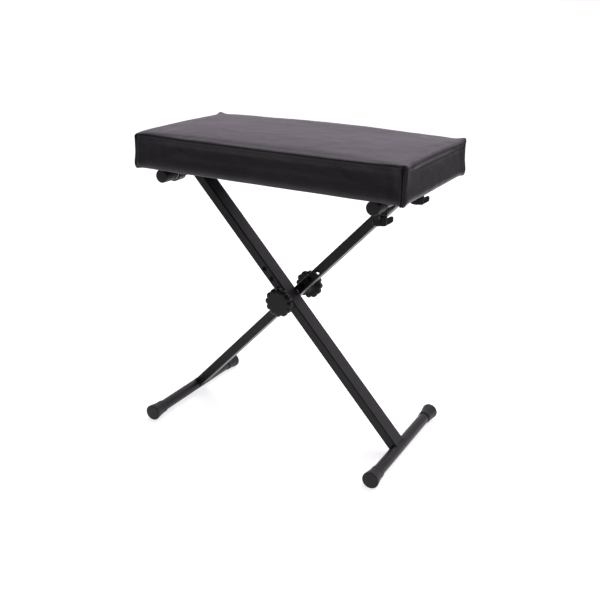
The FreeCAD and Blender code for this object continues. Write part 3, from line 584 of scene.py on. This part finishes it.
def lobed(angle, inset):
    """The knob's outline radius at an angle, drawn in by inset."""
    step = 2 * math.pi / lobe_count
    off = abs((angle + step / 2) % step - step / 2)
    reach = lobe_ring * math.cos(off) + math.sqrt(lobe_radius ** 2 - (lobe_ring * math.sin(off)) ** 2)
    valley = lobe_ring * math.cos(step / 2) + valley_rise
    shape = valley + (reach - valley) * (1 - lobe_fade * inset / knob_round)
    return max(shape, valley - valley_give) - inset


def knob_rings():
    """Rings from the stem's end round the lobed rim to the middle of the face.

    A round ring has its radius, a lobed ring its inset, and one between has its share."""
    rings = [("round", stem_radius - stem_edge, 0.0), ("round", stem_radius, stem_edge),
             ("round", stem_radius, stem_length - stem_fillet),
             ("round", stem_radius + stem_fillet, stem_length)]
    for share in (0.25, 0.5, 0.75):
        rings.append((share, stem_radius, stem_length + back_dip))
    for turn in (90, 65, 40, 15, 0):
        angle = math.radians(turn)
        inset = back_round * (1 - math.cos(angle))
        rings.append(("lobed", inset, stem_length + back_round * (1 - math.sin(angle))))
    top = stem_length + knob_thickness
    for turn in (0, 15, 30, 45, 60, 75, 90):
        angle = math.radians(turn)
        inset = knob_round * (1 - math.cos(angle))
        rings.append(("lobed", inset, top - knob_round * (1 - math.sin(angle))))
    for radius, dip in face_rings:
        rings.append(("round", radius, top - dip))
    return rings


def knob_shape():
    points = []
    rings = knob_rings()
    sides = lobe_count * sides_of_lobe
    for kind, amount, height in rings:
        for side in range(sides):
            angle = 2 * math.pi * side / sides
            if kind == "round":
                radius = amount
            elif kind == "lobed":
                radius = lobed(angle, amount)
            else:
                radius = amount + (lobed(angle, back_round) - amount) * kind
            points.append(Vector((radius * math.cos(angle), radius * math.sin(angle), height)))
    faces = []
    for ring in range(len(rings) - 1):
        for side in range(sides):
            turn = (side + 1) % sides
            faces.append((ring * sides + side, ring * sides + turn,
                          (ring + 1) * sides + turn, (ring + 1) * sides + side))
    for ring, height in ((0, 0.0), (len(rings) - 1, stem_length + knob_thickness - face_dip)):
        middle = len(points)
        points.append(Vector((0, 0, height)))
        for side in range(sides):
            faces.append((middle, ring * sides + (side + 1) % sides, ring * sides + side))
    return points, faces


def moulded_plastic(name):
    finish = new_finish(name, Specular_IOR_Level=0.26)
    spark = finish.grain(finish.place, scale=3200.0)
    flow = finish.grain(finish.place, scale=90.0, detail=4.0, roughness=0.6)
    handled = finish.span(flow, low=0.45, high=0.75)
    feed(finish,
         Base_Color=finish.blend(handled, plastic_colour, handled_plastic),
         Roughness=flow * flow_spread + plastic_roughness,
         Normal=relief(finish, spark, depth=0.00005))
    return finish.material


knob_plastic = moulded_plastic("black_plastic")


def make_knob(node, side, body):
    low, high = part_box(node)
    leg_end = low.y if side > 0 else high.y
    place = Vector(((low.x + high.x) / 2, leg_end, (low.z + high.z) / 2))
    points, faces = knob_shape()
    stand_here = facing(side, place)
    points = [stand_here @ point for point in points]
    piece = new_piece(node + "_moulding", points, faces, knob_plastic, sharp_angle=55.0)
    set_outward(piece)
    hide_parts(node)
    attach(piece, body)


make_knob("front_knob", -1, "knob_and_bolt")
make_knob("rear_knob", 1, "rear_knob_body")


# Wing screws: a hub with two moulded wings under each hook. The wings rise to their tips,
# are thinner at the tips than at the hub, and have soft edges.
wing_reach = 0.0190
wing_turn = math.radians(64)
wing_half_thickness = 0.0025
wing_taper = 0.28
wing_edge_round = 0.0011
wing_top = [(wing_reach, 0.0032), (wing_reach, 0.0101), (0.0176, 0.0113), (0.0148, 0.0111),
            (0.0104, 0.0099), (0.0078, 0.0092)]
wing_bottom = [(-0.0142, 0.0014), (-0.0082, 0.0), (0.0082, 0.0), (0.0142, 0.0014)]
wing_outline = wing_top + [(-x, z) for x, z in reversed(wing_top)] + wing_bottom
stud_bore = 0.0031
hub_profile = [
    (0.0, 0.0, 0.0), (0.0060, 0.0, 0.0012), (0.0060, 0.0128, 0.0008), (0.0054, 0.0152, 0.0006),
    (stud_bore, 0.0155, 0.0), (stud_bore, 0.0060, 0.0), (0.0, 0.0060, 0.0)]


def make_wing_handle(node, body):
    low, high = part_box(node)
    place = Vector(((low.x + high.x) / 2, (low.y + high.y) / 2, low.z))
    build = bmesh.new()
    layers = []
    for side in (-1, 1):
        layer = []
        for x, z in wing_outline:
            thickness = wing_half_thickness * (1 - wing_taper * abs(x) / wing_reach)
            layer.append(build.verts.new((x, side * thickness, z)))
        layers.append(layer)
    count = len(wing_outline)
    build.faces.new(layers[0])
    build.faces.new(layers[1][::-1])
    for step in range(count):
        after = (step + 1) % count
        build.faces.new((layers[0][step], layers[1][step], layers[1][after], layers[0][after]))
    bmesh.ops.recalc_face_normals(build, faces=build.faces)
    rims = [edge for edge in build.edges if edge.verts[0].co.y * edge.verts[1].co.y > 0]
    bmesh.ops.bevel(build, geom=rims, offset=wing_edge_round, segments=3, profile=0.5, affect="EDGES")
    points, faces = turned(eased(hub_profile), sides=40)
    corners = [build.verts.new(point) for point in points]
    for face in faces:
        build.faces.new([corners[corner] for corner in face])
    bmesh.ops.recalc_face_normals(build, faces=build.faces)
    build.transform(Matrix.Translation(place) @ Matrix.Rotation(wing_turn, 4, "Z"))
    mesh = bpy.data.meshes.new(node + "_moulding")
    build.to_mesh(mesh)
    build.free()
    piece = covered(node + "_moulding", mesh, knob_plastic, sharp_angle=42.0)
    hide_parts(node)
    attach(piece, body)


make_wing_handle("wing_handle_front", "wing_screw_front")
make_wing_handle("wing_handle_rear", "wing_screw_rear")


# Seat board: plain plywood between the foam and the lining, which hide it. Its face grain
# runs along the bench.
dark_veneer = (0.42, 0.29, 0.16, 1)
pale_veneer = (0.62, 0.47, 0.30, 1)


def plywood(name):
    finish = new_finish(name, Roughness=0.75, Specular_IOR_Level=0.25)
    stretched = finish.node("Mapping", {}, {"Vector": finish.place, "Scale": (9.0, 120.0, 400.0)})
    fibre = finish.grain(stretched, scale=1.0, detail=6.0, roughness=0.65)
    feed(finish,
         Base_Color=finish.blend(fibre, dark_veneer, pale_veneer),
         Normal=relief(finish, fibre, depth=0.0001))
    return finish.material


dress(["seat_board"], plywood("plywood"))


# Lining: a sheet of thin black bottoming cloth under the board, with its edges folded in
# and stapled. It puckers a little between the staples.
lining_low, lining_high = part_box("seat_lining")
lining_over = 0.005
lining_thickness = 0.0005
lining_steps = (92, 46)
lining_lift = 0.0002
pucker_scale = 28
pucker_depth = 0.0007
pucker_margin = 0.03
fold_width = 0.009
fold_drop = 0.00035
worn_cloth = (0.012, 0.012, 0.013, 1)
fuzzy_cloth = (0.03, 0.03, 0.031, 1)


def bottoming_cloth(name):
    finish = new_finish(name, Roughness=0.95, Specular_IOR_Level=0.15)
    speckle = finish.cells(finish.place, scale=900.0)
    soft = finish.grain(finish.place, scale=45.0, detail=4.0)
    feed(finish,
         Base_Color=finish.blend(soft, worn_cloth, fuzzy_cloth),
         Normal=relief(finish, speckle, depth=0.00012))
    return finish.material


def lining_points(level):
    points = []
    wide, deep = lining_steps
    low_x = lining_low.x - lining_over
    high_x = lining_high.x + lining_over
    low_y = lining_low.y - lining_over
    high_y = lining_high.y + lining_over
    for row in range(deep + 1):
        for column in range(wide + 1):
            x = low_x + (high_x - low_x) * column / wide
            y = low_y + (high_y - low_y) * row / deep
            edge = min(x - low_x, high_x - x, y - low_y, high_y - y)
            free = min(1.0, edge / pucker_margin)
            pucker = noise.noise(Vector((x * pucker_scale, y * pucker_scale, 3.1))) * pucker_depth * free
            fold = -fold_drop if edge < fold_width else 0.0
            points.append(Vector((x, y, lining_low.z + level + fold - abs(pucker) + lining_lift)))
    return points


def sheet_faces(wide, deep, count):
    """Faces of a thin sheet whose two sides have count points each, closed at the rim."""
    faces = []
    for row in range(deep):
        for column in range(wide):
            corner = row * (wide + 1) + column
            around = (corner, corner + 1, corner + wide + 2, corner + wide + 1)
            faces.append(around[::-1])
            faces.append(tuple(count + point for point in around))
    rim = list(range(wide))
    rim += [row * (wide + 1) + wide for row in range(deep)]
    rim += [deep * (wide + 1) + column for column in range(wide, 0, -1)]
    rim += [row * (wide + 1) for row in range(deep, 0, -1)]
    for step, point in enumerate(rim):
        after = rim[(step + 1) % len(rim)]
        faces.append((point, after, count + after, count + point))
    return faces


low_side = lining_points(-lining_thickness)
high_side = lining_points(0.0)
lining = new_piece("lining_cloth", low_side + high_side, sheet_faces(*lining_steps, len(low_side)),
                   bottoming_cloth("bottoming_cloth"), sharp_angle=50.0)
set_outward(lining)
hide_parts("seat_lining")
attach(lining, "seat")


# Cushion: foam on the board, under leatherette that is pulled tight and turned under. It
# has a low crown, sides that pull in between corners drawn to small points, a rolled edge
# at each end, and pleats folded down beside three corners.
cushion_low, cushion_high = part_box("seat_cover")
side_rise = 0.055
top_round = 0.0046
bottom_round = 0.0042
voxel = 0.004
sim_frames = 20
sim_pressure = 4.0
held_height = 0.004
move_cap = 0.004
tiny = 1e-9
swell_share = 0.35
cushion_half = Vector((cushion_high.x, cushion_high.y, side_rise / 2))
cushion_middle = Vector((0, 0, cushion_low.z + side_rise / 2))


def cushion_blank():
    """A plain box of the cushion's outer size, to be remeshed evenly."""
    build = bmesh.new()
    bmesh.ops.create_cube(build, size=2.0)
    for vert in build.verts:
        vert.co = Vector([vert.co[axis] * cushion_half[axis] for axis in range(3)]) + cushion_middle
    mesh = bpy.data.meshes.new("cushion")
    build.to_mesh(mesh)
    build.free()
    return put_in_scene("cushion", mesh)


def mesh_points(mesh):
    flat = np.empty(len(mesh.vertices) * 3, np.float64)
    mesh.vertices.foreach_get("co", flat)
    return flat.reshape(-1, 3)


def set_points(mesh, points):
    mesh.vertices.foreach_set("co", points.astype(np.float32).ravel())
    mesh.update()


def ramp(value, start, length):
    """0 up to start, 1 from start + length on, and a smooth rise between them."""
    share = np.clip((value - start) / length, 0.0, 1.0)
    return share * share * (3 - 2 * share)


def bell(value, middle, width):
    return np.exp(-((value - middle) / width) ** 2)


def snapped(points):
    """Bring points onto the cushion's box with rounded edges, rounder at the top."""
    offset = points - np.array(cushion_middle)
    side = np.sign(offset)
    level = ramp(offset[:, 2], -cushion_half.z, 2 * cushion_half.z)
    rounding = (bottom_round + (top_round - bottom_round) * level)[:, None]
    core = np.array(cushion_half) - rounding
    beyond = np.abs(offset) - core
    nearest = np.argmax(beyond, axis=1)
    rows = np.arange(len(points))
    beyond[rows, nearest] = np.maximum(beyond[rows, nearest], merge_distance)
    out = np.maximum(beyond, 0.0)
    out *= rounding / np.linalg.norm(out, axis=1, keepdims=True)
    inner = np.minimum(np.abs(offset), core)
    return np.array(cushion_middle) + side * (inner + out)


def swollen(piece):
    """How far each point moves when the cover swells under pressure, within move_cap."""
    start = mesh_points(piece.data)
    held = piece.vertex_groups.new(name="held")
    low = cushion_low.z + held_height
    held.add([int(place) for place in np.nonzero(start[:, 2] < low)[0]], 1.0, "REPLACE")
    cloth = piece.modifiers.new("cover", "CLOTH")
    settings = cloth.settings
    settings.quality = 5
    settings.mass = 0.4
    settings.tension_stiffness = 30
    settings.compression_stiffness = 30
    settings.shear_stiffness = 12
    settings.bending_stiffness = 6
    settings.use_pressure = True
    settings.uniform_pressure_force = sim_pressure
    settings.vertex_group_mass = "held"
    settings.effector_weights.gravity = 0
    cloth.collision_settings.use_self_collision = False
    scene = bpy.context.scene
    for step in range(1, sim_frames + 1):
        scene.frame_set(step)
    move = mesh_points(applied(piece)) - start
    scene.frame_set(1)
    piece.vertex_groups.clear()
    length = np.linalg.norm(move, axis=1, keepdims=True)
    return move * np.minimum(1.0, move_cap / np.maximum(length, tiny))


def finer(piece):
    split = piece.modifiers.new("finer", "SUBSURF")
    split.subdivision_type = "SIMPLE"
    split.levels = 1
    split.render_levels = 1
    return mesh_points(applied(piece))


def places_on_cushion(points):
    """Where each point lies: on which face, how near a corner, and how high."""
    face_depth = 0.005
    face_fade = 0.003
    corner_reach = 0.026
    spot = SimpleNamespace()
    spot.x, spot.y, z = points.T.copy()
    spot.share_x = np.abs(spot.x) / cushion_half.x
    spot.share_y = np.abs(spot.y) / cushion_half.y
    spot.height = z - cushion_low.z
    spot.below_top = side_rise - spot.height
    spot.from_end = cushion_half.x - np.abs(spot.x)
    from_side = cushion_half.y - np.abs(spot.y)
    spot.on_end = ramp(-spot.from_end, -face_depth, face_fade)
    spot.on_side = ramp(-from_side, -face_depth, face_fade)
    near_end = ramp(-spot.from_end, -corner_reach, corner_reach)
    near_side = ramp(-from_side, -corner_reach, corner_reach)
    spot.corner = near_end * near_side
    spot.upper = ramp(spot.height, start=0.030, length=0.025)
    spot.middle_band = ramp(spot.height, 0, length=0.026) * ramp(spot.below_top, 0, length=0.016)
    spot.back = spot.y > 0
    spot.blunt = (spot.x < 0) & (spot.y < 0)
    return spot


def crown_and_peaks(spot):
    """The top's rise: a crown, long edges bowed up or down, and corners drawn to points."""
    crown = 0.0048
    crown_end_drop = 0.4
    back_bow = 0.0060
    front_bow = -0.0008
    blunt_peak = -0.0022
    back_peak = 0.0040
    front_peak = 0.0010
    up = crown * (1 - spot.share_y ** 2) * (1 - crown_end_drop * spot.share_x ** 2) * spot.upper
    bow = np.where(spot.back, back_bow, front_bow)
    up += bow * (1 - spot.share_x ** 2) * spot.share_y ** 2 * spot.upper
    peak = np.where(spot.blunt, blunt_peak, np.where(spot.back, back_peak, front_peak))
    return up + peak * spot.corner ** 2 * ramp(spot.height, start=0.04, length=0.015)


def drawn_sides(spot):
    """The sides' move outwards: corners drawn out, and faces pulled in between them."""
    corner_spread = 0.0012
    blunt_spread = 0.0006
    back_right_spread = 0.0016
    corner_swell = 0.0006
    pull = 0.0014
    side_bow = 0.0015
    back_left_reach = 0.0034
    spread = np.where(spot.blunt, blunt_spread, corner_spread)
    spread = spread * ramp(spot.height, start=0.012, length=0.042)
    back_right = np.where((spot.x > 0) & spot.back, back_right_spread, 0.0)
    spread += back_right * (1 - ramp(spot.height, start=0.01, length=0.04))
    spread = (spread + corner_swell) * spot.corner
    out_x = spread - pull * spot.middle_band * spot.on_end * (1 - spot.share_y ** 4)
    out_y = spread - pull * spot.middle_band * spot.on_side * (1 - spot.share_x ** 8)
    out_y += side_bow * (1 - spot.share_x ** 2) * spot.upper * spot.on_side
    towards_back = ramp(spot.y, start=-cushion_half.y, length=2 * cushion_half.y)
    left = np.where(spot.x < 0, back_left_reach, 0.0)
    out_x += left * ramp(spot.share_x, 0, length=1) ** 8 * towards_back
    return out_x, out_y


def board_edge(spot):
    """The cover stands out where it goes round the board, and tucks in at the hem."""
    edge_bulge = 0.0013
    hem_tuck = 0.0012
    bulge = edge_bulge * (1 - ramp(spot.height, start=0.004, length=0.022))
    return bulge - hem_tuck * (1 - ramp(spot.height, 0, length=0.009))


def end_roll(spot):
    """A roll along each end's top edge, with a crease under it that fades at the corners."""
    roll = 0.0008
    crease = 0.0011
    least_drop = 0.0085
    added_drop = 0.0035
    front_fade = ramp(spot.y, start=0.004 - cushion_half.y, length=0.040)
    along_roll = front_fade * ramp(-spot.y, start=-cushion_half.y, length=0.022)
    crease_drop = least_drop + added_drop * along_roll
    shape = roll * bell(spot.below_top, middle=0.004, width=0.004)
    shape -= crease * bell(spot.below_top, crease_drop, width=0.0016)
    return spot.on_end * along_roll * shape


def side_folds(spot):
    """Hollows of the long faces: under the top edge, and round each corner's pleats."""
    edge_line = 0.0005
    hollow = 0.0019
    groove = 0.0018
    dart = 0.0022
    blunt_share = 0.8
    under_edge = bell(spot.below_top, middle=0.0052, width=0.0015)
    depth = edge_line * under_edge * ramp(spot.from_end, 0, length=0.012)
    beside_pleats = bell(spot.from_end, middle=0.019, width=0.006) * (1 - blunt_share * spot.blunt)
    depth += hollow * beside_pleats * spot.middle_band
    between_pleats = bell(spot.from_end, middle=0.0046, width=0.0014)
    depth += groove * between_pleats * ramp(spot.height, 0, length=0.006)
    dart_fade = ramp(-spot.below_top, start=-0.015, length=0.010) * ramp(spot.below_top, 0, length=0.003)
    depth += dart * bell(spot.from_end, middle=0.0052, width=0.0026) * dart_fade
    return spot.on_side * depth


def unevenness(points, close, tall, shift=0.0):
    """Soft random heights over the cushion, between about -1 and 1."""
    return np.array([noise.noise(Vector((x * close + shift, y * close, z * tall))) for x, y, z in points])


def shape_cushion(points, swell):
    """The cover's whole form, with soft dents, a wavy hem and a flat inside its opening."""
    side_dent = 0.0009
    fine_side_dent = 0.0004
    top_dent = 0.0007
    fine_top_dent = 0.0003
    hem_wave = 0.0005
    hem_drop = 0.0006
    corner_drop = 0.0022
    under_skin = 0.0012
    opening_rise = 0.0014
    spot = places_on_cushion(points)
    dents = unevenness(points, close=17, tall=9)
    fine_dents = unevenness(points, close=42, tall=20, shift=5)
    side_waves = (side_dent * dents + fine_side_dent * fine_dents) * spot.middle_band
    top_waves = (top_dent * dents + fine_top_dent * fine_dents) * spot.upper
    top_waves *= (1 - spot.on_end) * (1 - spot.on_side)
    at_hem = (1 - ramp(spot.height, 0, length=0.004)) * np.maximum(spot.on_end, spot.on_side)
    sag = corner_drop * spot.corner ** 3 * (1 - ramp(spot.height, 0, length=0.016))
    out_x, out_y = drawn_sides(spot)
    out_x += (board_edge(spot) + side_waves) * spot.on_end + end_roll(spot)
    out_y += (board_edge(spot) + side_waves) * spot.on_side - side_folds(spot)
    moved = points + swell * swell_share
    moved[:, 0] += np.sign(spot.x) * out_x
    moved[:, 1] += np.sign(spot.y) * out_y
    moved[:, 2] += crown_and_peaks(spot) + top_waves + at_hem * (hem_wave * dents - hem_drop) - sag
    in_opening = (spot.x > lining_low.x) & (spot.x < lining_high.x)
    in_opening &= (spot.y > lining_low.y) & (spot.y < lining_high.y) & (spot.height < under_skin)
    moved[:, 2] = np.where(in_opening, cushion_low.z + opening_rise, moved[:, 2])
    return moved


ridge_depth = 0.0019
ridge_lift = 0.0008
ridge_sides = 10
near_ridge = [(0.0008, 0.0010, 0.0006), (0.0012, 0.0030, 0.0012), (0.0020, 0.0075, 0.0015),
              (0.0029, 0.0130, 0.0016), (0.0029, 0.0300, 0.0017), (0.0026, 0.0500, 0.0018),
              (0.0022, 0.0556, 0.0013), (0.0024, 0.0566, 0.0006)]
far_ridge = [(0.0092, 0.0022, 0.0006), (0.0086, 0.0040, 0.0012), (0.0074, 0.0085, 0.0014),
             (0.0062, 0.0135, 0.0015), (0.0062, 0.0300, 0.0016), (0.0060, 0.0500, 0.0017),
             (0.0056, 0.0555, 0.0012), (0.0052, 0.0566, 0.0005)]


def pleat_ridge(side_x, side_y, path):
    """One folded ridge of the cover beside a corner, from the top edge down to the hem.

    Each stop on its path is (distance from the corner, height under the top edge, half width)."""
    points = []
    for inward, drop, half_width in path:
        curve = max(0.0, top_round - inward)
        face = cushion_half.y + ridge_lift - top_round + math.sqrt(top_round ** 2 - curve ** 2)
        for step in range(ridge_sides):
            angle = 2 * math.pi * step / ridge_sides
            along = cushion_half.x - inward + half_width * math.cos(angle)
            out = face + ridge_depth * math.sin(angle)
            points.append((side_x * along, side_y * out, cushion_low.z + side_rise - drop))
    faces = []
    last = (len(path) - 1) * ridge_sides
    for ring in range(0, last, ridge_sides):
        for step in range(ridge_sides):
            after = (step + 1) % ridge_sides
            faces.append((ring + step, ring + after,
                          ring + ridge_sides + after, ring + ridge_sides + step))
    faces.append(tuple(range(ridge_sides)))
    faces.append(tuple(last + step for step in range(ridge_sides)))
    return points, faces


def add_ridges(piece):
    """Join the pleats' ridges to the cushion, beside three corners on the long faces."""
    build = bmesh.new()
    build.from_mesh(piece.data)
    for side_x, side_y in ((1, -1), (1, 1), (-1, 1)):
        for path in (near_ridge, far_ridge):
            points, faces = pleat_ridge(side_x, side_y, path)
            corners = [build.verts.new(point) for point in points]
            added = [build.faces.new([corners[corner] for corner in face]) for face in faces]
            bmesh.ops.recalc_face_normals(build, faces=added)
    build.to_mesh(piece.data)
    build.free()


dark_hide = (0.0160, 0.0176, 0.0178, 1)
pale_hide = (0.0236, 0.0246, 0.0250, 1)
# A lighter, purplish tone that is painted sheen: it stands in for the hide's shine, not for a change in
# its own colour.
painted_sheen_hide = (0.0265, 0.0250, 0.0268, 1)
hide_roughness = 0.33
mottle_spread = 0.14
crease_spread = 0.1
cell_share = 0.7


def leatherette(name):
    finish = new_finish(name, Specular_IOR_Level=0.3, Specular_Tint=(1.0, 0.86, 1.0, 1))
    pebble = finish.cells(finish.place, scale=850.0)
    from_crease = finish.cells(finish.place, scale=420.0, feature="DISTANCE_TO_EDGE")
    cell_edge = finish.span(from_crease, low=0.0, high=0.12)
    mottle = finish.grain(finish.place, scale=14.0, detail=5.0, roughness=0.62)
    # Broad random patches get the lighter, purplish tone: painted sheen laid into the base colour.
    painted_sheen_patches = finish.span(finish.grain(finish.place, scale=4.5), low=0.4, high=0.65, to_high=0.5)
    tone = finish.blend(finish.span(mottle, low=0.35, high=0.7), dark_hide, pale_hide)
    grain_height = cell_edge * cell_share + (1 - pebble) * (1 - cell_share)
    soft = relief(finish, finish.grain(finish.place, scale=38.0, detail=3.0), depth=0.0012)
    feed(finish,
         Base_Color=finish.blend(painted_sheen_patches, tone, painted_sheen_hide),
         Roughness=mottle * mottle_spread + (1 - cell_edge) * crease_spread + hide_roughness,
         Normal=relief(finish, grain_height, depth=0.00007, under=soft))
    return finish.material


cushion = cushion_blank()
remesh = cushion.modifiers.new("even", "REMESH")
remesh.mode = "VOXEL"
remesh.voxel_size = voxel
applied(cushion)
set_points(cushion.data, snapped(mesh_points(cushion.data)))
plain_cushion = cushion.data.copy()
swell = 0.0
move = swollen(cushion)
set_points(cushion.data, mesh_points(plain_cushion) + move)
swell = finer(cushion)
cushion.data = plain_cushion
swell = swell - finer(cushion)
set_points(cushion.data, shape_cushion(snapped(mesh_points(cushion.data)), swell))
add_ridges(cushion)
cushion.data.materials.clear()
cushion.data.materials.append(leatherette("leatherette"))
cushion.data.shade_smooth()
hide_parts("seat_cover", "seat_foam")
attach(cushion, "seat")
